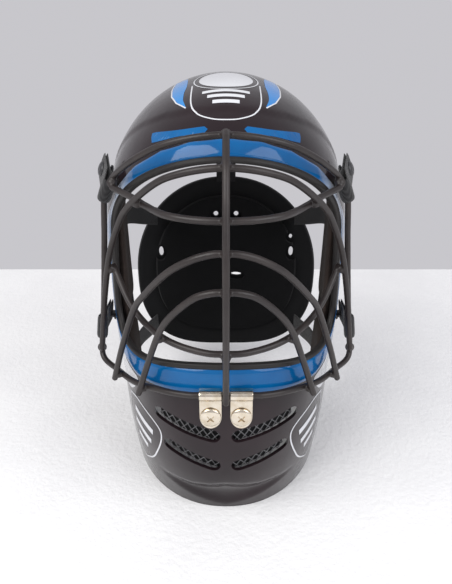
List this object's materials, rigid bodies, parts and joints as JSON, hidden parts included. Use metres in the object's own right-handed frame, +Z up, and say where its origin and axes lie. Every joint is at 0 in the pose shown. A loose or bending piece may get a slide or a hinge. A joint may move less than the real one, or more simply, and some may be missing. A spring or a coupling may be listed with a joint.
{
  "type": "goalie mask",
  "caption": "Caged goalie mask for floorball and street hockey: moulded shell, wire cage hooked at the chin and strapped at the sides, foam lining and a back plate on elastic straps.",
  "frame": {"origin": "on the surface the mask stands on, under the centre of its bounding box", "axes": "-Y is the way the mask looks, +X is towards the wearer's left and +Z is up"},
  "size_m": [0.2266, 0.3046, 0.35],
  "materials": {
    "gloss_black_shell": "gloss",
    "coated_cage_wire": "satin",
    "nickel_plate": "satin",
    "galvanised_steel": "satin",
    "grey_mesh": "satin",
    "edge_rubber": "matte",
    "brown_foam": "matte",
    "matte_black_plate": "matte",
    "black_foam": "matte",
    "black_webbing": "matte",
    "black_snap": "satin"
  },
  "bodies": {
    "mask": {"shell": "gloss_black_shell", "face_opening_trim": "edge_rubber", "vent_mesh_upper_left": "grey_mesh", "vent_mesh_upper_right": "grey_mesh", "vent_mesh_lower_left": "grey_mesh", "vent_mesh_lower_right": "grey_mesh", "forehead_pad": "brown_foam", "crown_pad": "brown_foam", "temple_pad_left": "brown_foam", "temple_pad_right": "brown_foam", "jaw_pad_left": "brown_foam", "jaw_pad_right": "brown_foam", "chin_pad": "brown_foam", "chin_clip_left": "nickel_plate", "chin_clip_right": "nickel_plate", "chin_screw_left": "nickel_plate", "chin_screw_right": "nickel_plate", "chin_nut_left": "galvanised_steel", "chin_nut_right": "galvanised_steel", "snap_stud_temple_left": "black_snap", "snap_stud_temple_right": "black_snap", "snap_stud_lower_left": "black_snap", "snap_stud_lower_right": "black_snap", "harness_strap_upper_left": "black_webbing", "harness_strap_upper_right": "black_webbing", "harness_strap_lower_left": "black_webbing", "harness_strap_lower_right": "black_webbing", "harness_strap_top": "black_webbing"},
    "cage": {"cage_frame_wire": "coated_cage_wire", "cage_oval_wire": "coated_cage_wire", "cage_brow_wire": "coated_cage_wire", "cage_upper_arch_wire": "coated_cage_wire", "cage_lower_arch_wire": "coated_cage_wire", "cage_vee_wire": "coated_cage_wire", "cage_centre_wire": "coated_cage_wire", "cage_strap_temple_left": "black_webbing", "cage_strap_temple_right": "black_webbing", "cage_strap_lower_left": "black_webbing", "cage_strap_lower_right": "black_webbing", "snap_cap_temple_left": "black_snap", "snap_cap_temple_right": "black_snap", "snap_cap_lower_left": "black_snap", "snap_cap_lower_right": "black_snap"},
    "back_plate_on_harness": {"back_plate": "matte_black_plate", "back_plate_liner": "black_foam"}
  },
  "joints": [
    {"name": "cage_hinge", "type": "hinge", "parent": "mask", "child": "cage", "pos_m": [0, -0.1182, 0.138], "axis": [1, 0, 0], "range_deg": [0, 70]},
    {"name": "back_plate_hinge", "type": "hinge", "parent": "mask", "child": "back_plate_on_harness", "pos_m": [0, 0.1278, 0.3], "axis": [1, 0, 0], "range_deg": [0, 25], "stiffness_Nm_per_rad": 0.3}
  ]
}
